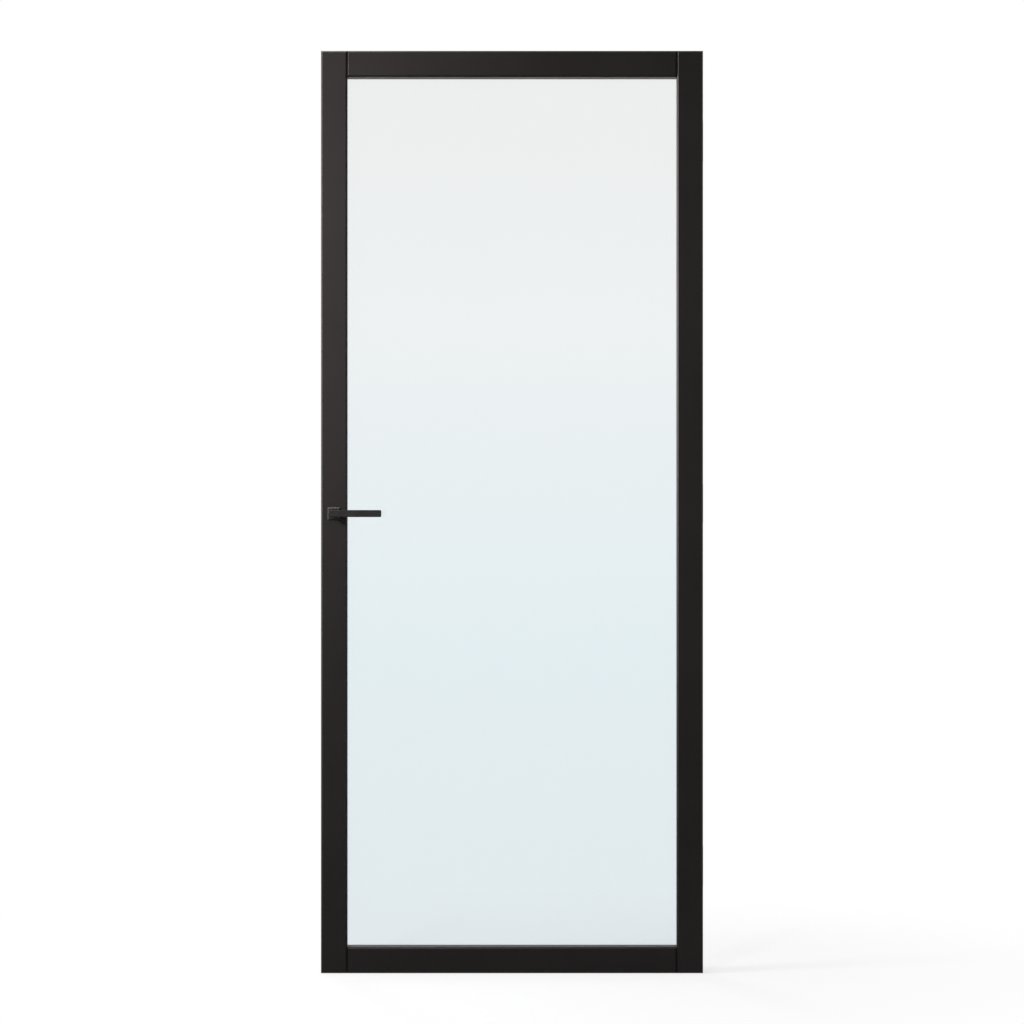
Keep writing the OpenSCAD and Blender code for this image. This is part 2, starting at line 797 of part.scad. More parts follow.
module retractor_spring() {
    start = lug_u + lug_l + spring_end;
    color(steel) at_lock() translate([start, 0, horn_l])
        coil(backset - horn_w / 2 - spring_end - start,
            retractor_spring_r, retractor_wire_r, retractor_turns);
}

// Square hole along Y for the spindle, on the spindle's axis
module square_hole(y0, l) {
    w = spindle_w + 2 * spindle_fit;
    translate([-w / 2, y0, -w / 2]) cube([w, l, w]);
}

// Section of the lever's bar, centred
module lever_section() {
    translate([-lever_t / 2, -lever_h / 2]) soft_rect(lever_t, lever_h, lever_arris);
}

// Lever of that reach on the spindle's axis, standing out towards minus Y from the leaf's face at Y zero
module lever(reach) {
    corner = lever_out - lever_t;
    far = lever_out + lever_t;
    difference() {
        union() {
            intersection() {
                along_x(-lever_t / 2, reach + lever_t / 2) translate([-lever_mid, 0]) lever_section();
                translate([0, 0, -lever_h]) linear_extrude(2 * lever_h)
                    polygon([[-lever_t / 2, -lever_out], [-lever_t / 2 + lever_out, -lever_out],
                        [reach + eps, -lever_out - eps], [reach + eps, -corner + eps],
                        [lever_t / 2 + eps, -corner + eps]]);
                translate([0, 0, -lever_h]) linear_extrude(2 * lever_h)
                    translate([-reach, -lever_out]) soft_rect(2 * reach, lever_t, lever_arris);
                along_y(-far, far)
                    translate([-reach, -lever_h / 2]) soft_rect(2 * reach, lever_h, lever_tip_r);
            }
            intersection() {
                along_y(-lever_out, lever_out - collar_end) lever_section();
                translate([0, 0, -lever_h]) linear_extrude(2 * lever_h)
                    polygon([[-lever_t / 2 - eps, 0], [-lever_t / 2 - eps, -lever_out - eps],
                        [-lever_t / 2, -lever_out], [lever_t / 2, -corner],
                        [lever_t / 2 + eps, -corner], [lever_t, 0]]);
            }
            bar_y([0, -collar_end - eps, 0], collar_r, collar_end + eps - collar_start);
        }
        square_hole(-spindle_end - base_fit, spindle_end);
        translate([0, -grub_at, -lever_h]) cylinder(r = grub_r + grub_fit, h = lever_h);
    }
}

// Moves a piece of the front handle to its place on the leaf
module at_front() {
    translate([spindle_x, front_y, handle_z]) children();
}

// The same place on the back, mirrored
module at_rear() {
    translate([spindle_x, back_y, handle_z]) mirror([0, 1, 0]) children();
}

module front_lever() {
    color(hardware) at_front() lever(lever_reach);
}

module rear_lever() {
    color(hardware) at_rear() lever(rear_lever_reach);
}

module spindle() {
    l = leaf_t + 2 * spindle_end;
    color(steel) translate([spindle_x - spindle_w / 2, -l / 2, handle_z - spindle_w / 2])
        cube([spindle_w, l, spindle_w]);
}

// Grub screw in the underside of the neck, up to the spindle
module grub_screw() {
    low = -lever_h / 2 + grub_sink;
    top = -spindle_w / 2 - spindle_fit;
    difference() {
        translate([0, -grub_at, low]) cylinder(r = grub_r, h = top - low);
        translate([0, -grub_at, low - eps]) cylinder(d = grub_socket, h = eps + grub_socket_d, $fn = 6);
    }
}

module front_grub_screw() {
    color(dark) at_front() grub_screw();
}

module rear_grub_screw() {
    color(dark) at_rear() grub_screw();
}

// Square base that is screwed to the stile
module rose_base() {
    difference() {
        translate([-base_w / 2, -base_t, -base_w / 2]) cube([base_w, base_t, base_w]);
        bar_y([0, -rose_t, 0], collar_r + bush_wall + 2 * collar_fit, 2 * rose_t);
        for (k = [-1, 1]) {
            translate([k * rose_screw_at, 0, k * rose_screw_at]) rotate([90, 0, 0]) {
                translate([0, 0, -eps]) cylinder(r = rose_screw_r + screw_fit, h = base_t + 2 * eps);
                translate([0, 0, base_t + rose_screw_r - rose_head_r])
                    cylinder(r1 = rose_screw_r + screw_fit,
                        r2 = rose_head_r + screw_fit, h = rose_head_r - rose_screw_r);
            }
        }
    }
}

// Thin square cover over the base
module rose_cover() {
    hole = collar_r + collar_fit + cover_fit;
    difference() {
        intersection() {
            along_y(-rose_t, rose_t)
                translate([-rose_w / 2, -rose_w / 2]) soft_rect(rose_w, rose_w, rose_corner);
            along_x(-rose_w, 2 * rose_w)
                translate([-rose_t, -rose_w / 2]) bevel_rect(2 * rose_t, rose_w, rose_bevel);
            translate([0, 0, -rose_w]) linear_extrude(2 * rose_w)
                translate([-rose_w / 2, -rose_t]) bevel_rect(rose_w, 2 * rose_t, rose_bevel);
        }
        translate([-rose_w / 2 + rose_wall, -rose_t + rose_wall, -rose_w / 2 + rose_wall])
            cube([rose_w - 2 * rose_wall, rose_t, rose_w - 2 * rose_wall]);
        bar_y([0, -rose_t - eps, 0], hole, 2 * rose_t);
    }
}

// Bush that carries the lever's neck inside the base
module rose_bush() {
    difference() {
        bar_y([0, -base_t, 0], collar_r + collar_fit + bush_wall, base_t);
        bar_y([0, -rose_t, 0], collar_r + collar_fit, 2 * rose_t);
    }
}

module rose_screws() {
    for (k = [-1, 1]) {
        translate([k * rose_screw_at, -base_t + screw_sit, k * rose_screw_at]) rotate([90, 0, 0])
            wood_screw(rose_screw_r, rose_head_r, rose_screw_l);
    }
}

module front_rose_base() {
    color(steel) at_front() rose_base();
}

module front_rose_cover() {
    color(hardware) at_front() rose_cover();
}

module front_rose_bush() {
    color(nylon) at_front() rose_bush();
}

module front_rose_screws() {
    color(steel) at_front() rose_screws();
}

module rear_rose_base() {
    color(steel) at_rear() rose_base();
}

module rear_rose_cover() {
    color(hardware) at_rear() rose_cover();
}

module rear_rose_bush() {
    color(nylon) at_rear() rose_bush();
}

module rear_rose_screws() {
    color(steel) at_rear() rose_screws();
}

// Lower end of knuckle i above the bottom of the hinge; knuckles 1 and 3 belong to the door plate
function knuckle_z(i) = knuckle_pitch * i + (i % 2 == 1 ? ring_t + knuckle_gap : 0);
// Upper end of knuckle i
function knuckle_top(i) = knuckle_pitch * (i + 1) - (i % 2 == 1 ? knuckle_gap : 0);

// One hinge plate: flat part from X x0, own knuckles, room for the other plate's knuckles
module hinge_plate(x0, own, other, holes, sink_x, sink_dir) {
    difference() {
        union() {
            difference() {
                translate([x0, axis_y - hinge_reach, 0]) cube([hinge_t, hinge_reach, hinge_h]);
                for (i = other) {
                    z0 = i == 0 ? -eps : knuckle_pitch * i - (i % 2 == 0 ? knuckle_gap : 0);
                    z1 = i == 4 ? hinge_h + eps
                        : knuckle_top(i) + (i % 2 == 0 ? ring_t + knuckle_gap : knuckle_gap);
                    translate([axis_x, axis_y, z0]) cylinder(r = knuckle_r + knuckle_room, h = z1 - z0);
                }
            }
            for (i = own) {
                translate([axis_x, axis_y, knuckle_z(i)])
                    cylinder(r = knuckle_r, h = knuckle_top(i) - knuckle_z(i));
            }
        }
        translate([axis_x, axis_y, -eps]) cylinder(r = pin_r + pin_fit, h = hinge_h + 2 * eps);
        for (h = holes) {
            bar_x([x0 - eps, h[0], h[1]], hinge_hole_r, hinge_t + 2 * eps);
            translate([sink_x, h[0], h[1]]) rotate([0, 90 * sink_dir, 0])
                cylinder(r1 = hinge_sink_r, r2 = hinge_hole_r, h = hinge_sink_r - hinge_hole_r);
        }
    }
}

// Plate on the door, its countersinks facing outwards
module door_plate(z) {
    translate([0, 0, z]) hinge_plate(recess_x, [1, 3], [0, 2, 4], door_holes, recess_x + hinge_t, -1);
}

// Plate on the jamb, its countersinks facing the door and staggered, so that no screw head meets another
module frame_plate(z) {
    x0 = recess_x + hinge_t + hinge_gap;
    translate([0, 0, z]) hinge_plate(x0, [0, 2, 4], [1, 3], frame_holes, x0, 1);
}

// Pin with a low head at each end
module hinge_pin(z) {
    translate([axis_x, axis_y, z]) union() {
        translate([0, 0, -pin_head_t]) cylinder(r = pin_r, h = hinge_h + 2 * pin_head_t);
        for (zz = [-pin_head_gap - pin_head_t, hinge_h + pin_head_gap]) {
            translate([0, 0, zz]) cylinder(r = pin_head_r, h = pin_head_t);
        }
    }
}

// Two rings that carry the door's knuckles
module hinge_rings(z) {
    for (i = [1, 3]) {
        translate([axis_x, axis_y, z + knuckle_pitch * i]) difference() {
            cylinder(r = knuckle_r - ring_step, h = ring_t);
            translate([0, 0, -eps]) cylinder(r = pin_r + pin_fit, h = ring_t + 2 * eps);
        }
    }
}

// Four screws that hold a door plate
module plate_screws(z) {
    for (h = door_holes) {
        translate([recess_x + hinge_t - screw_sit, h[0], z + h[1]]) rotate([0, 90, 0])
            wood_screw(hinge_screw_r, hinge_head_r, hinge_screw_l);
    }
}

module top_hinge_door_plate() {
    color(hardware) door_plate(top_hinge_z);
}

module top_hinge_screws() {
    color(hardware) plate_screws(top_hinge_z);
}

module top_hinge_frame_plate() {
    color(hardware) frame_plate(top_hinge_z);
}

module top_hinge_pin() {
    color(hardware) hinge_pin(top_hinge_z);
}

module top_hinge_rings() {
    color(steel) hinge_rings(top_hinge_z);
}

module middle_hinge_door_plate() {
    color(hardware) door_plate(middle_hinge_z);
}

module middle_hinge_screws() {
    color(hardware) plate_screws(middle_hinge_z);
}

module middle_hinge_frame_plate() {
    color(hardware) frame_plate(middle_hinge_z);
}

module middle_hinge_pin() {
    color(hardware) hinge_pin(middle_hinge_z);
}

module middle_hinge_rings() {
    color(steel) hinge_rings(middle_hinge_z);
}

module bottom_hinge_door_plate() {
    color(hardware) door_plate(bottom_hinge_z);
}

module bottom_hinge_screws() {
    color(hardware) plate_screws(bottom_hinge_z);
}

module bottom_hinge_frame_plate() {
    color(hardware) frame_plate(bottom_hinge_z);
}

module bottom_hinge_pin() {
    color(hardware) hinge_pin(bottom_hinge_z);
}

module bottom_hinge_rings() {
    color(steel) hinge_rings(bottom_hinge_z);
}

lock_stile();
hinge_stile();
top_rail();
bottom_rail();
frame_dowels();
glass_pane();
setting_blocks();
front_glazing_tape();
rear_glazing_tape();
top_bead();
bottom_bead();
lock_side_bead();
hinge_side_bead();
bead_pins();
lock_case();
lock_cover();
lock_cover_screws();
lock_forend();
forend_screws();
latch_bolt();
follower();
follower_spring();
retractor_spring();
front_lever();
rear_lever();
spindle();
front_grub_screw();
rear_grub_screw();
front_rose_base();
front_rose_cover();
front_rose_bush();
front_rose_screws();
rear_rose_base();
rear_rose_cover();
rear_rose_bush();
rear_rose_screws();
top_hinge_door_plate();
top_hinge_screws();
top_hinge_frame_plate();
top_hinge_pin();
top_hinge_rings();
middle_hinge_door_plate();
middle_hinge_screws();
middle_hinge_frame_plate();
middle_hinge_pin();
middle_hinge_rings();
bottom_hinge_door_plate();
bottom_hinge_screws();
bottom_hinge_frame_plate();
bottom_hinge_pin();
bottom_hinge_rings();
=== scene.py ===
import json
import math

import bpy
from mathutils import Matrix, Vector


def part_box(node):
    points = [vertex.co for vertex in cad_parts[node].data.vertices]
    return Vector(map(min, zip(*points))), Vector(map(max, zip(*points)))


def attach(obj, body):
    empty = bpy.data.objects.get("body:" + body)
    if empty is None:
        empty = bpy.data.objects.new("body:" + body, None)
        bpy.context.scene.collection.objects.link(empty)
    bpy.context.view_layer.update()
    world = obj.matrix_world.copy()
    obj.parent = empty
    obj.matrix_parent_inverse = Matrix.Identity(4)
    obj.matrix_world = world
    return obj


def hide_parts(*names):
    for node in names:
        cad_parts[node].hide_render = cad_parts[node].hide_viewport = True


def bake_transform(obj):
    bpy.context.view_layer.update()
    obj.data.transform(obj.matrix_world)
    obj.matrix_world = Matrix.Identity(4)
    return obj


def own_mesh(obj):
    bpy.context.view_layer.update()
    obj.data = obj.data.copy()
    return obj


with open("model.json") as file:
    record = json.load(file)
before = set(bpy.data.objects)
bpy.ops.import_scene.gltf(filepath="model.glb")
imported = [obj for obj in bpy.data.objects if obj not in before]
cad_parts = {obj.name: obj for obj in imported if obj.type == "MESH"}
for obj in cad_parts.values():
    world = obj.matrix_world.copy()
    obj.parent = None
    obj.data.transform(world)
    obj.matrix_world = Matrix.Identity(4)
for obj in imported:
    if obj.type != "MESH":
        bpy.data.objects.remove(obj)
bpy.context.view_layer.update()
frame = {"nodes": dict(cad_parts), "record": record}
scene = bpy.context.scene
scene.view_settings.view_transform = "Standard"

# The leaf's own places, in metres, as the CAD has them
LEAF_FRONT = -0.020
LEAF_HEIGHT = 2.115
LOCK_EDGE = -0.438
SIGHT_SIDE = 0.378
SIGHT_LOW, SIGHT_HIGH = 0.060, 2.055
BEAD_MIDDLE = 0.01225
BEAD_BACK = 0.003
SIDE_PINS, END_PINS = 8, 3
HINGE_MIDDLES = (1.915, 1.0775, 0.24)
DOOR_PLATE_FACE = 0.437
# Depth of a row of hinge screws in the edge, and how far it lies above and below the hinge's middle
HINGE_SCREW_ROWS = ((0.0068, 0.033), (0.0138, 0.013))
FOREND_MIDDLE = 1.062
FOREND_SCREW_REACH = 0.060
SCREW_SIT = 0.0001


# ---------------------------------------------------------------- camera

VIEW_DISTANCE = 4.1
PICTURE_SPAN = 2.3466
FILM_WIDTH = 36.0


def place_camera():
    """A level camera square to the leaf; the picture spans PICTURE_SPAN at the leaf's front face."""
    data = bpy.data.cameras.new("camera")
    data.sensor_fit = "HORIZONTAL"
    data.sensor_width = FILM_WIDTH
    data.lens = FILM_WIDTH * VIEW_DISTANCE / PICTURE_SPAN
    data.clip_end = 200.0
    camera = bpy.data.objects.new("camera", data)
    camera.location = (0.0, LEAF_FRONT - VIEW_DISTANCE, LEAF_HEIGHT / 2)
    camera.rotation_euler = (math.radians(90), 0.0, 0.0)
    scene.collection.objects.link(camera)
    scene.camera = camera


# ---------------------------------------------------------------- node helpers

def put(tree, kind, settings=None, **sockets):
    """Adds a node. A socket goes by its name with _ for a space, or by a, b, c for the first three."""
    node = tree.nodes.new(kind)
    for key, value in (settings or {}).items():
        setattr(node, key, value)
    for key, value in sockets.items():
        socket = node.inputs["abc".index(key) if key in ("a", "b", "c") else key.replace("_", " ")]
        if isinstance(value, bpy.types.NodeSocket):
            tree.links.new(value, socket)
        else:
            socket.default_value = value
    return node


def math_node(tree, operation, a, b):
    return put(tree, "ShaderNodeMath", {"operation": operation}, a=a, b=b).outputs[0]


def times(tree, a, b):
    return math_node(tree, "MULTIPLY", a, b)


def minus(tree, a, b):
    return math_node(tree, "SUBTRACT", a, b)


def vector(tree, x=0.0, y=0.0, z=0.0):
    return put(tree, "ShaderNodeCombineXYZ", X=x, Y=y, Z=z).outputs[0]


def part_of(tree, coords, axis):
    """One of the X, Y or Z values of a vector."""
    return put(tree, "ShaderNodeSeparateXYZ", Vector=coords).outputs[axis]


def new_finish(name):
    """A material with an empty node tree and its output."""
    finish = bpy.data.materials.new(name)
    finish.use_nodes = True
    tree = finish.node_tree
    tree.nodes.clear()
    return finish, tree, tree.nodes.new("ShaderNodeOutputMaterial")


def end_finish(tree, out, **sockets):
    """Ends a finish in one shader for the whole surface."""
    skin = put(tree, "ShaderNodeBsdfPrincipled", **sockets)
    tree.links.new(skin.outputs[0], out.inputs["Surface"])


def object_coords(tree):
    return tree.nodes.new("ShaderNodeTexCoord").outputs["Object"]


def stretched(tree, coords, scale):
    return put(tree, "ShaderNodeMapping", Vector=coords, Scale=scale).outputs["Vector"]


def noise(tree, coords, scale, detail=3.0, roughness=0.5, distortion=0.0):
    return put(tree, "ShaderNodeTexNoise", Vector=coords, Scale=scale, Detail=detail,
               Roughness=roughness, Distortion=distortion).outputs["Fac"]


def spread(tree, value, low, high, start=0.3, end=0.7):
    """Maps a value that runs from start to end smoothly on to the range from low to high."""
    return put(tree, "ShaderNodeMapRange", {"interpolation_type": "SMOOTHSTEP"}, Value=value,
               From_Min=start, From_Max=end, To_Min=low, To_Max=high).outputs["Result"]


def weighed(tree, *pairs):
    """Sum of values, each times its weight."""
    (value, weight), *others = pairs
    total = times(tree, value, weight)
    for value, weight in others:
        total = put(tree, "ShaderNodeMath", {"operation": "MULTIPLY_ADD"},
                    a=value, b=weight, c=total).outputs[0]
    return total


def between(tree, value, dark, light):
    """Colour that runs from dark to light as the value runs from 0 to 1."""
    mix = put(tree, "ShaderNodeMix", {"data_type": "RGBA"})
    tree.links.new(value, mix.inputs["Factor"])
    for socket in mix.inputs:
        if socket.type == "RGBA":
            socket.default_value = (*(dark if socket.name == "A" else light), 1.0)
    return next(s for s in mix.outputs if s.type == "RGBA")


def bumped(tree, height, strength, distance):
    return put(tree, "ShaderNodeBump", Height=height, Strength=strength,
               Distance=distance).outputs["Normal"]


# ---------------------------------------------------------------- finishes

PAINT_IOR, GLASS_IOR = 1.5, 1.52
# Warm tint on the reflections of the black finishes: painted warm light, in place of a warm lamp
WARM_REFLECTION_TINT = (1.0, 0.87, 0.88, 1.0)
LACQUER_DARK, LACQUER_LIGHT = (0.0078, 0.0064, 0.0067), (0.0112, 0.0094, 0.0098)
COAT_DARK, COAT_LIGHT = (0.0130, 0.0120, 0.0123), (0.0195, 0.0181, 0.0185)
# The pane's blue tint with a painted reflection of the studio, by height, from the bottom sight line at
# 0 to the top one at 1: neutral at the top, bluer and darker low down
GLASS_BOTTOM_TINT_REFLECTION, GLASS_TOP_TINT_REFLECTION = (0.794, 0.860, 0.886, 1.0), (0.896, 0.906, 0.902, 1.0)
GLASS_BETWEEN_TINT_REFLECTION = ((0.34, (0.812, 0.900, 0.931, 1.0)), (0.72, (0.897, 0.932, 0.938, 1.0)))
GLASS_CLEARNESS = 0.985
UPRIGHT_GRAIN = (260.0, 260.0, 5.0)
LEVEL_GRAIN = (5.0, 260.0, 260.0)
LEVEL_PIECES = ("top_rail", "bottom_rail", "top_bead", "bottom_bead")


def black_lacquer(name, grain):
    """Satin black spray lacquer on timber: orange peel, a trace of the grain, slow clouds of tone."""
    finish, tree, out = new_finish(name)
    at = object_coords(tree)
    cloud = noise(tree, at, 3.5, 4.0, 0.6)
    peel = noise(tree, at, 420.0, 2.0, 0.5)
    dust = noise(tree, at, 1900.0, 2.0, 0.6)
    pores = noise(tree, stretched(tree, at, grain), 1.0, 6.0, 0.6, 0.4)
    tone = weighed(tree, (spread(tree, cloud, 0.0, 1.0), 0.55), (spread(tree, dust, 0.0, 1.0), 0.25),
                   (spread(tree, pores, 0.0, 1.0), 0.20))
    colour = between(tree, tone, LACQUER_DARK, LACQUER_LIGHT)
    gloss = weighed(tree, (spread(tree, cloud, 0.415, 0.450), 1.0),
                    (spread(tree, dust, -0.02, 0.02), 1.0))
    height = weighed(tree, (peel, 0.6), (dust, 0.15), (pores, 0.5))
    # Reflections tinted warm: painted warm light
    end_finish(tree, out, Base_Color=colour, Roughness=gloss, IOR=PAINT_IOR, Specular_IOR_Level=0.5,
               Specular_Tint=WARM_REFLECTION_TINT, Normal=bumped(tree, height, 0.35, 0.00006))
    return finish


def black_coat(name):
    """Fine black powder coat on the handle, the forend and the hinges."""
    finish, tree, out = new_finish(name)
    at = object_coords(tree)
    cloud = noise(tree, at, 30.0, 3.0, 0.6)
    grit = noise(tree, at, 1500.0, 3.0, 0.6)
    tone = weighed(tree, (spread(tree, cloud, 0.0, 1.0), 0.5), (spread(tree, grit, 0.0, 1.0), 0.5))
    colour = between(tree, tone, COAT_DARK, COAT_LIGHT)
    gloss = weighed(tree, (spread(tree, cloud, 0.37, 0.41), 1.0),
                    (spread(tree, grit, -0.03, 0.03), 1.0))
    # Reflections tinted warm: painted warm light
    end_finish(tree, out, Base_Color=colour, Roughness=gloss, IOR=PAINT_IOR, Specular_IOR_Level=0.5,
               Specular_Tint=WARM_REFLECTION_TINT, Normal=bumped(tree, grit, 0.4, 0.00005))
    return finish


def clear_glass(name):
    """Clear float glass with a faint blue tint and a painted reflection of the studio: neutral at the
    top, bluer and darker towards the bottom of the pane.
    """
    finish, tree, out = new_finish(name)
    at = object_coords(tree)
    height = put(tree, "ShaderNodeMapRange", Value=part_of(tree, at, "Z"), From_Min=SIGHT_LOW,
                 From_Max=SIGHT_HIGH).outputs["Result"]
    # The glass's own tint and a painted reflection of the studio, by height
    ramp = put(tree, "ShaderNodeValToRGB", Fac=height)
    stops = ramp.color_ramp.elements
    stops[0].position, stops[0].color = 0.0, GLASS_BOTTOM_TINT_REFLECTION
    stops[1].position, stops[1].color = 1.0, GLASS_TOP_TINT_REFLECTION
    for place, tint in GLASS_BETWEEN_TINT_REFLECTION:
        stops.new(place).color = tint
    wave = noise(tree, at, 2.2, 1.0)
    film = noise(tree, at, 9.0, 4.0, 0.6)
    end_finish(tree, out, Base_Color=ramp.outputs["Color"], Roughness=spread(tree, film, 0.0, 0.02),
               IOR=GLASS_IOR, Transmission_Weight=GLASS_CLEARNESS,
               Normal=bumped(tree, wave, 0.05, 0.0005))
    return finish


def bright_metal(name, colour, roughness, lines):
    """Steel or zinc with fine drawn lines along one direction."""
    finish, tree, out = new_finish(name)
    at = object_coords(tree)
    drawn = noise(tree, stretched(tree, at, lines), 1.0, 4.0, 0.6)
    cloud = noise(tree, at, 60.0, 3.0, 0.6)
    tone = weighed(tree, (spread(tree, drawn, 0.0, 1.0), 0.6), (spread(tree, cloud, 0.0, 1.0), 0.4))
    end_finish(tree, out, Base_Color=between(tree, tone, tuple(0.82 * c for c in colour), colour),
               Metallic=1.0, Roughness=spread(tree, drawn, roughness - 0.05, roughness + 0.08),
               Normal=bumped(tree, drawn, 0.25, 0.00004))
    return finish


def dull_solid(name, dark, light, roughness, scale, strength=0.3, grain=(1.0, 1.0, 1.0)):
    """Rubber foam, moulded plastic or raw timber: mottled colour and a fine relief."""
    finish, tree, out = new_finish(name)
    at = stretched(tree, object_coords(tree), grain)
    fine = noise(tree, at, scale, 4.0, 0.6)
    cloud = noise(tree, at, scale / 12, 3.0, 0.6)
    tone = weighed(tree, (spread(tree, fine, 0.0, 1.0), 0.5), (spread(tree, cloud, 0.0, 1.0), 0.5))
    end_finish(tree, out, Base_Color=between(tree, tone, dark, light),
               Roughness=spread(tree, fine, roughness - 0.06, roughness + 0.06),
               Normal=bumped(tree, fine, strength, 0.0001))
    return finish


lacquer_upright = black_lacquer("black_lacquer_upright", UPRIGHT_GRAIN)
lacquer_level = black_lacquer("black_lacquer_level", LEVEL_GRAIN)
coat = black_coat("black_powder_coat")
finishes = {
    "black_lacquer": lacquer_upright,
    "black_metal": coat,
    "clear_glass": clear_glass("clear_float_glass"),
    "steel": bright_metal("plain_steel", (0.58, 0.58, 0.59), 0.34, (30.0, 900.0, 900.0)),
    "bolt_steel": bright_metal("bolt_steel", (0.64, 0.64, 0.65), 0.28, (900.0, 900.0, 40.0)),
    "ring_steel": bright_metal("ring_steel", (0.54, 0.54, 0.55), 0.32, (60.0, 60.0, 2500.0)),
    "spring_steel": bright_metal("spring_wire", (0.48, 0.48, 0.50), 0.30, (900.0, 200.0, 200.0)),
    "zinc_plate": bright_metal("zinc_plate", (0.60, 0.61, 0.63), 0.42, (120.0, 120.0, 120.0)),
    "grub_steel": dull_solid("blackened_steel", (0.012, 0.012, 0.012), (0.022, 0.022, 0.022),
                             0.40, 1800.0),
    "foam_tape": dull_solid("foam_glazing_tape", (0.010, 0.010, 0.010), (0.024, 0.024, 0.024),
                            0.82, 1600.0, 0.6),
    "block_plastic": dull_solid("setting_block_plastic", (0.055, 0.055, 0.055),
                                (0.085, 0.085, 0.085), 0.50, 900.0),
    "nylon": dull_solid("nylon_bush", (0.74, 0.74, 0.71), (0.84, 0.84, 0.81), 0.42, 900.0, 0.15),
    "beech": dull_solid("beech_dowel", (0.44, 0.29, 0.17), (0.62, 0.45, 0.29), 0.62, 40.0, 0.3,
                        (0.6, 20.0, 20.0)),
}


def dress_nodes():
    """Gives each CAD node the finish of its slot; rails and level beads get the grain along X.
    Lamps shine through the pane, so it throws no shadow."""
    for row in frame["record"]["subparts"]:
        node = row["node"]
        mesh = frame["nodes"][node].data
        mesh.materials.clear()
        mesh.materials.append(lacquer_level if node in LEVEL_PIECES else finishes[row["material_slot"]])
    frame["nodes"]["glass_pane"].visible_shadow = False


# ---------------------------------------------------------------- repeated pieces

TURN_SEED = 11
SHARP_ANGLE = 0.55
# Shares of a screw recess's width: its arms, and its heart at the face and at the bottom
RECESS_ARM, RECESS_HEART, RECESS_FOOT = 0.24, 0.30, 0.12
# Shares of a screw's length: neck, core, thread, and the thread's lower end
NECK_LENGTH, CORE_LENGTH, THREAD_LENGTH, THREAD_END = 0.30, 0.78, 0.48, 0.80
# Shares of a screw's shank radius
NECK_RADIUS, CORE_RADIUS = 0.98, 0.70
POINT_RADIUS = 0.0002
SPOT_FACE, SPOT_SINK = 0.94, 0.00003


def place_tree(name, **sizes):
    """A Geometry Nodes tree that takes places with a facing, sizes and a finish."""
    tree = bpy.data.node_groups.new(name, "GeometryNodeTree")

    def socket(label, kind, in_out="INPUT"):
        return tree.interface.new_socket(label, in_out=in_out, socket_type="NodeSocket" + kind)

    socket("places", "Geometry")
    for label, value in sizes.items():
        socket(label.replace("_", " "), "Float").default_value = value
    socket("finish", "Material")
    socket("pieces", "Geometry", "OUTPUT")
    return tree, tree.nodes.new("NodeGroupInput").outputs


def random_turn(tree):
    """A turn about Z that differs from place to place."""
    angle = put(tree, "FunctionNodeRandomValue", {"data_type": "FLOAT"}, Seed=TURN_SEED)
    for socket in angle.inputs:
        if socket.type == "VALUE" and socket.enabled:
            socket.default_value = math.tau if socket.name == "Max" else 0.0
    turn = next(s for s in angle.outputs if s.type == "VALUE" and s.enabled)
    return put(tree, "FunctionNodeEulerToRotation", Euler=vector(tree, z=turn)).outputs[0]


def set_on_places(tree, given, piece):
    """Puts the piece on each place, its Z along the facing and turned at random, and ends the tree."""
    facing = put(tree, "GeometryNodeInputNamedAttribute", {"data_type": "FLOAT_VECTOR"},
                 Name="facing").outputs["Attribute"]
    aligned = put(tree, "FunctionNodeAlignRotationToVector", {"axis": "Z"},
                  Vector=facing).outputs["Rotation"]
    rotation = put(tree, "FunctionNodeRotateRotation", {"rotation_space": "LOCAL"},
                   Rotation=aligned, Rotate_By=random_turn(tree)).outputs[0]
    placed = put(tree, "GeometryNodeInstanceOnPoints", Points=given["places"], Instance=piece,
                 Rotation=rotation).outputs[0]
    real = put(tree, "GeometryNodeRealizeInstances", Geometry=placed).outputs[0]
    bend = tree.nodes.new("GeometryNodeInputMeshEdgeAngle").outputs["Unsigned Angle"]
    sharp = put(tree, "FunctionNodeCompare", {"data_type": "FLOAT", "operation": "GREATER_THAN"},
                a=bend, b=SHARP_ANGLE).outputs[0]
    smooth = put(tree, "GeometryNodeSetShadeSmooth", {"domain": "FACE"}, Geometry=real,
                 Shade_Smooth=True).outputs[0]
    edged = put(tree, "GeometryNodeSetShadeSmooth", {"domain": "EDGE"}, Geometry=smooth,
                Selection=sharp, Shade_Smooth=False).outputs[0]
    painted = put(tree, "GeometryNodeSetMaterial", Geometry=edged,
                  Material=given["finish"]).outputs[0]
    tree.links.new(painted, tree.nodes.new("NodeGroupOutput").inputs["pieces"])


def lifted(tree, mesh, z):
    return put(tree, "GeometryNodeTransform", Geometry=mesh, Translation=vector(tree, z=z)).outputs[0]


def rod(tree, vertices, radius, length, top):
    """A plain round bar that hangs down from a height."""
    bar = put(tree, "GeometryNodeMeshCylinder", Vertices=vertices, Radius=radius,
              Depth=length).outputs["Mesh"]
    return lifted(tree, bar, minus(tree, top, times(tree, length, 0.5)))


def block(tree, x, y, z):
    return put(tree, "GeometryNodeMeshCube", Size=vector(tree, x, y, z)).outputs["Mesh"]


def helix(tree, resolution, turns, radius, rise, wire, wire_sides):
    """A wire wound around Z, from zero up, its ends capped."""
    path = put(tree, "GeometryNodeCurveSpiral", Resolution=resolution, Rotations=turns,
               Start_Radius=radius, End_Radius=radius, Height=rise).outputs["Curve"]
    section = put(tree, "GeometryNodeCurvePrimitiveCircle", {"mode": "RADIUS"},
                  Resolution=wire_sides, Radius=wire).outputs["Curve"]
    return put(tree, "GeometryNodeCurveToMesh", Curve=path, Profile_Curve=section,
               Fill_Caps=True).outputs["Mesh"]


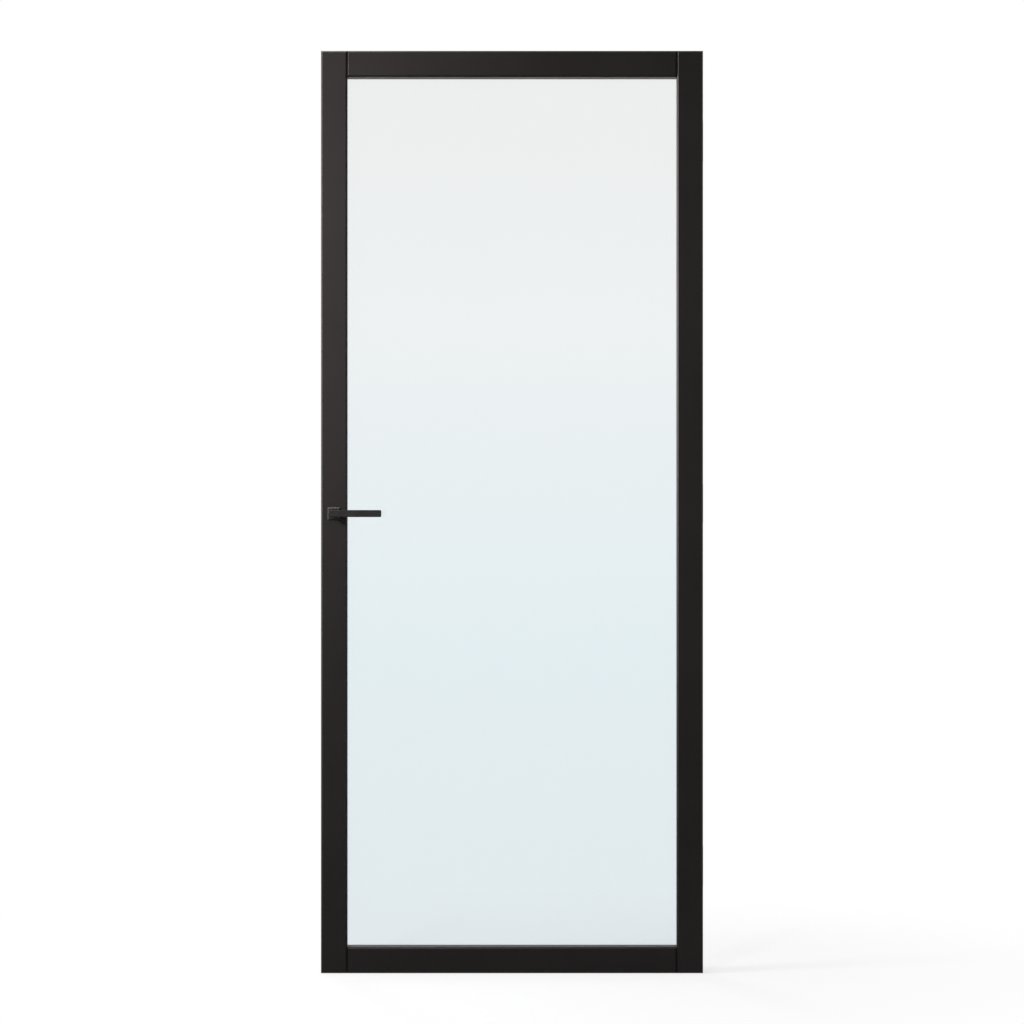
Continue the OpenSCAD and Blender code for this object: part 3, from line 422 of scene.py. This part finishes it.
def countersunk_screw_tree():
    """Countersunk screw, head face at Z zero: cross recess, plain neck, cut thread and point."""
    tree, given = place_tree("countersunk_screws", head_radius=0.0036, shank_radius=0.0021,
                             length=0.025, recess_width=0.0042, recess_depth=0.0016,
                             thread_pitch=0.0018)
    head_r, shank_r, length = given["head radius"], given["shank radius"], given["length"]
    head_h = minus(tree, head_r, shank_r)
    head_base = times(tree, head_h, -1.0)
    head = put(tree, "GeometryNodeMeshCone", Vertices=40, Side_Segments=2, Fill_Segments=1,
               Radius_Top=head_r, Radius_Bottom=shank_r, Depth=head_h).outputs["Mesh"]
    head = lifted(tree, head, head_base)

    recess_w = given["recess width"]
    arm = times(tree, recess_w, RECESS_ARM)
    depth = times(tree, given["recess depth"], 2.0)
    heart = put(tree, "GeometryNodeMeshCone", Vertices=12, Depth=depth,
                Radius_Top=times(tree, recess_w, RECESS_HEART),
                Radius_Bottom=times(tree, recess_w, RECESS_FOOT)).outputs["Mesh"]
    heart = lifted(tree, heart, times(tree, given["recess depth"], -1.0))
    cut = put(tree, "GeometryNodeMeshBoolean", {"operation": "DIFFERENCE", "solver": "EXACT"})
    tree.links.new(head, cut.inputs["Mesh 1"])
    for tool in (block(tree, recess_w, arm, depth), block(tree, arm, recess_w, depth), heart):
        tree.links.new(tool, cut.inputs["Mesh 2"])

    neck = rod(tree, 32, times(tree, shank_r, NECK_RADIUS), times(tree, length, NECK_LENGTH), head_base)
    core_r = times(tree, shank_r, CORE_RADIUS)
    core_l = times(tree, length, CORE_LENGTH)
    core = rod(tree, 24, core_r, core_l, head_base)
    point_l = minus(tree, minus(tree, length, core_l), head_h)
    point = put(tree, "GeometryNodeMeshCone", Vertices=24, Radius_Top=core_r,
                Radius_Bottom=POINT_RADIUS, Depth=point_l).outputs["Mesh"]
    point = lifted(tree, point, times(tree, length, -1.0))
    ridge_l = times(tree, length, THREAD_LENGTH)
    ridge = helix(tree, 20, math_node(tree, "DIVIDE", ridge_l, given["thread pitch"]), core_r,
                  ridge_l, minus(tree, shank_r, core_r), 4)
    ridge = lifted(tree, ridge, times(tree, length, -THREAD_END))
    whole = tree.nodes.new("GeometryNodeJoinGeometry")
    for mesh in (cut.outputs["Mesh"], neck, core, point, ridge):
        tree.links.new(mesh, whole.inputs["Geometry"])
    set_on_places(tree, given, whole.outputs["Geometry"])
    return tree


def stopping_tree():
    """Small spot of lacquered filler over a sunk bead pin, its face just below Z zero."""
    tree, given = place_tree("pin_stopping_spots", spot_radius=0.00078, spot_depth=0.0006)
    radius, depth = given["spot radius"], given["spot depth"]
    spot = put(tree, "GeometryNodeMeshCone", Vertices=20, Side_Segments=2, Fill_Segments=2,
               Radius_Top=times(tree, radius, SPOT_FACE), Radius_Bottom=radius,
               Depth=depth).outputs["Mesh"]
    set_on_places(tree, given, lifted(tree, spot, minus(tree, times(tree, depth, -1.0), SPOT_SINK)))
    return tree


def coil_spring_tree():
    """Spring of round wire wound along Z from zero, its wire ends capped."""
    tree, given = place_tree("coil_springs", length=0.022, coil_radius=0.0018, wire_radius=0.00045,
                             turns=9.0)
    wire = given["wire radius"]
    rise = minus(tree, given["length"], times(tree, wire, 2.0))
    coil = helix(tree, 28, given["turns"], given["coil radius"], rise, wire, 10)
    set_on_places(tree, given, lifted(tree, coil, wire))
    return tree


def grown(name, tree, places, finish, **sizes):
    """Runs a tree over places, given as (point, facing), and returns a plain mesh object."""
    mesh = bpy.data.meshes.new(name + "_places")
    mesh.from_pydata([tuple(p) for p, _ in places], [], [])
    facing = mesh.attributes.new("facing", "FLOAT_VECTOR", "POINT")
    for row, (_, direction) in zip(facing.data, places):
        row.vector = direction
    carrier = bpy.data.objects.new(name + "_places", mesh)
    scene.collection.objects.link(carrier)
    modifier = carrier.modifiers.new("grow", "NODES")
    modifier.node_group = tree
    for item in tree.interface.items_tree:
        key = item.name.replace(" ", "_")
        if item.in_out == "INPUT" and key in sizes:
            modifier[item.identifier] = sizes[key]
        if item.in_out == "INPUT" and item.name == "finish":
            modifier[item.identifier] = finish
    bpy.context.view_layer.update()
    depsgraph = bpy.context.evaluated_depsgraph_get()
    result = bpy.data.meshes.new_from_object(carrier.evaluated_get(depsgraph))
    result.name = name
    bpy.data.objects.remove(carrier)
    bpy.data.meshes.remove(mesh)
    piece = bpy.data.objects.new(name, result)
    scene.collection.objects.link(piece)
    return piece


def fit_screws():
    """Cross-recessed screws of the hinge plates and the forend, in place of the plain CAD ones."""
    tree = countersunk_screw_tree()
    hinge_places = []
    for middle in HINGE_MIDDLES:
        for y, reach in HINGE_SCREW_ROWS:
            for side in (-1, 1):
                point = (DOOR_PLATE_FACE - SCREW_SIT, y, middle + side * reach)
                hinge_places.append((point, (1, 0, 0)))
    hinge = grown("hinge_plate_screws", tree, hinge_places, coat)
    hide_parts("top_hinge_screws", "middle_hinge_screws", "bottom_hinge_screws")
    forend_places = []
    for side in (-1, 1):
        point = (LOCK_EDGE + SCREW_SIT, 0.0, FOREND_MIDDLE + side * FOREND_SCREW_REACH)
        forend_places.append((point, (-1, 0, 0)))
    forend = grown("forend_wood_screws", tree, forend_places, coat, head_radius=0.0034,
                   shank_radius=0.0019, length=0.028, recess_width=0.0040, recess_depth=0.0014,
                   thread_pitch=0.0017)
    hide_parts("forend_screws")
    for piece in (hinge, forend):
        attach(piece, "leaf")


def wind_lock_springs():
    """Follower spring and retractor spring of round wire, wound at the lengths of the CAD ones; in the
    lock the follower shortens as the lever turns and the bolt draws out the retractor.
    """
    tree = coil_spring_tree()
    wire = finishes["spring_steel"]
    low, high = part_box("follower_spring")
    anchor = (low.x, 0.0, (low.z + high.z) / 2)
    follower = grown("follower_wire_spring", tree, [(anchor, (1, 0, 0))], wire,
                     length=high.x - low.x, coil_radius=0.0018, wire_radius=0.00045, turns=9.0)
    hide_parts("follower_spring")
    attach(follower, "leaf")
    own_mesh(follower)
    low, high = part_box("retractor_spring")
    lug_end = (low.x, 0.0, (low.z + high.z) / 2)
    retractor = grown("retractor_wire_spring", tree, [(lug_end, (1, 0, 0))], wire,
                      length=high.x - low.x, coil_radius=0.00155, wire_radius=0.00035, turns=7.0)
    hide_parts("retractor_spring")
    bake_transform(retractor)


def stop_pin_holes():
    """Filler over the sunk bead pins along the sight faces of the four beads."""
    side, low, high = SIGHT_SIDE + BEAD_BACK, SIGHT_LOW - BEAD_BACK, SIGHT_HIGH + BEAD_BACK
    places = []
    for i in range(SIDE_PINS):
        z = SIGHT_LOW + (SIGHT_HIGH - SIGHT_LOW) * (i + 0.5) / SIDE_PINS
        places += [((-side, BEAD_MIDDLE, z), (1, 0, 0)), ((side, BEAD_MIDDLE, z), (-1, 0, 0))]
    for i in range(END_PINS):
        x = 2 * SIGHT_SIDE * ((i + 0.5) / END_PINS - 0.5)
        places += [((x, BEAD_MIDDLE, low), (0, 0, 1)), ((x, BEAD_MIDDLE, high), (0, 0, -1))]
    spots = grown("bead_pin_stopping", stopping_tree(), places, lacquer_upright)
    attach(spots, "leaf")


# ---------------------------------------------------------------- studio

WHITE = (1.0, 1.0, 1.0, 1.0)
ROOM_LIGHT, ROOM_GLOSS = 0.34, 0.09
# Where reflections pass from the grey room to the white backdrop: by direction, and on the floor
BACKDROP_TURN = (-0.25, 0.70)
BACKDROP_FLOOR = (-0.05, 0.60)
FLOOR_REACH, FLOOR_DROP = 60.0, 0.001
# The shadow's share around the leaf's foot, and the ring over which it fades to none
SHADOW_SHARE, SHADOW_FADE = 0.30, (0.10, 0.90)
SHADOW_SHAPE = (0.55, 1.0, 0.0)
# Name, place, aim, width, height, watts
LAMPS = (
    ("key_lamp", (-2.34, -3.70, 2.40), (0.0, 0.0, 1.1), 0.70, 0.70, 66.0),
    ("side_lamp", (-2.60, -0.60, 1.85), (-0.4, -0.05, 1.6), 0.5, 1.9, 76.0),
    ("top_lamp", (-0.75, -0.15, 3.50), (-0.45, -0.02, 1.6), 0.9, 0.5, 20.0),
    ("fill_lamp", (2.40, -1.50, 1.20), (-0.2, 0.0, 0.9), 0.8, 2.0, 10.0),
    ("back_lamp", (-2.20, 3.60, 3.20), (0.0, 0.0, 1.1), 1.2, 1.6, 50.0),
)


def all_but_the_pane():
    """A light linking group that leaves the pane out, so that no lamp shows as a hard square in it."""
    group = bpy.data.collections.new("unlit_by_lamps")
    group.objects.link(frame["nodes"]["glass_pane"])
    group.collection_objects[0].light_linking.link_state = "EXCLUDE"
    return group


def soft_lamp(lit, name, place, aim, width, height, watts):
    """A rectangular lamp that neither the camera nor the glass shows."""
    data = bpy.data.lights.new(name, "AREA")
    data.shape = "RECTANGLE"
    data.size, data.size_y = width, height
    data.energy = watts
    lamp = bpy.data.objects.new(name, data)
    lamp.location = place
    lamp.rotation_euler = (Vector(aim) - Vector(place)).to_track_quat("-Z", "Y").to_euler()
    lamp.visible_camera = False
    lamp.visible_transmission = False
    lamp.light_linking.receiver_collection = lit
    scene.collection.objects.link(lamp)


def backdrop_rays(tree, depth, start, end):
    """1 for the rays that see the white backdrop: camera and glass rays, and reflections of what
    lies behind the leaf. Then 1 for all reflections."""
    rays = tree.nodes.new("ShaderNodeLightPath").outputs
    glossy = rays["Is Glossy Ray"]
    behind = spread(tree, depth, 0.0, 1.0, start, end)
    seen = math_node(tree, "MAXIMUM", rays["Is Camera Ray"], rays["Is Transmission Ray"])
    return math_node(tree, "MAXIMUM", seen, times(tree, glossy, behind)), glossy


def mixed(tree, share, first, second):
    """The first shader where share is 0, the second where it is 1."""
    mix = put(tree, "ShaderNodeMixShader", Fac=share)
    tree.links.new(first, mix.inputs[1])
    tree.links.new(second, mix.inputs[2])
    return mix.outputs[0]


def pale_world():
    """White backdrop to the camera, through glass and in reflections of it; a soft grey room on the
    viewer's side."""
    world = bpy.data.worlds.new("studio")
    world.use_nodes = True
    scene.world = world
    tree = world.node_tree
    tree.nodes.clear()
    direction = tree.nodes.new("ShaderNodeTexCoord").outputs["Generated"]
    white_share, glossy = backdrop_rays(tree, part_of(tree, direction, "Y"), *BACKDROP_TURN)
    light, gloss, white = (put(tree, "ShaderNodeBackground", Color=WHITE, Strength=s).outputs[0]
                           for s in (ROOM_LIGHT, ROOM_GLOSS, 1.0))
    whole = mixed(tree, white_share, mixed(tree, glossy, light, gloss), white)
    tree.links.new(whole, tree.nodes.new("ShaderNodeOutputWorld").inputs["Surface"])


def pale_floor():
    """White floor that keeps a soft shadow around the leaf's foot."""
    mesh = bpy.data.meshes.new("floor")
    corners = ((-1, -1), (1, -1), (1, 1), (-1, 1))
    mesh.from_pydata([(x * FLOOR_REACH, y * FLOOR_REACH, -FLOOR_DROP) for x, y in corners],
                     [], [(0, 1, 2, 3)])
    floor = bpy.data.objects.new("floor", mesh)
    scene.collection.objects.link(floor)
    finish, tree, out = new_finish("pale_floor")
    at = object_coords(tree)
    away = put(tree, "ShaderNodeVectorMath", {"operation": "LENGTH"},
               a=stretched(tree, at, SHADOW_SHAPE)).outputs["Value"]
    shadow_share = spread(tree, away, SHADOW_SHARE, 0.0, *SHADOW_FADE)
    white_share, glossy = backdrop_rays(tree, part_of(tree, at, "Y"), *BACKDROP_FLOOR)
    kept = put(tree, "ShaderNodeBsdfDiffuse", Color=(0.86, 0.86, 0.86, 1.0)).outputs[0]
    plain = put(tree, "ShaderNodeBsdfDiffuse", Color=(0.80, 0.80, 0.80, 1.0)).outputs[0]
    lit = put(tree, "ShaderNodeEmission", Color=WHITE, Strength=1.0).outputs[0]
    gloss = put(tree, "ShaderNodeEmission", Color=WHITE, Strength=ROOM_GLOSS).outputs[0]
    whole = mixed(tree, white_share, mixed(tree, glossy, plain, gloss),
                  mixed(tree, shadow_share, lit, kept))
    tree.links.new(whole, out.inputs["Surface"])
    mesh.materials.append(finish)


def light_studio():
    """White backdrop and floor, and soft lamps on everything but the pane."""
    pale_world()
    pale_floor()
    lit = all_but_the_pane()
    for lamp in LAMPS:
        soft_lamp(lit, *lamp)


place_camera()
dress_nodes()
fit_screws()
wind_lock_springs()
stop_pin_holes()
light_studio()
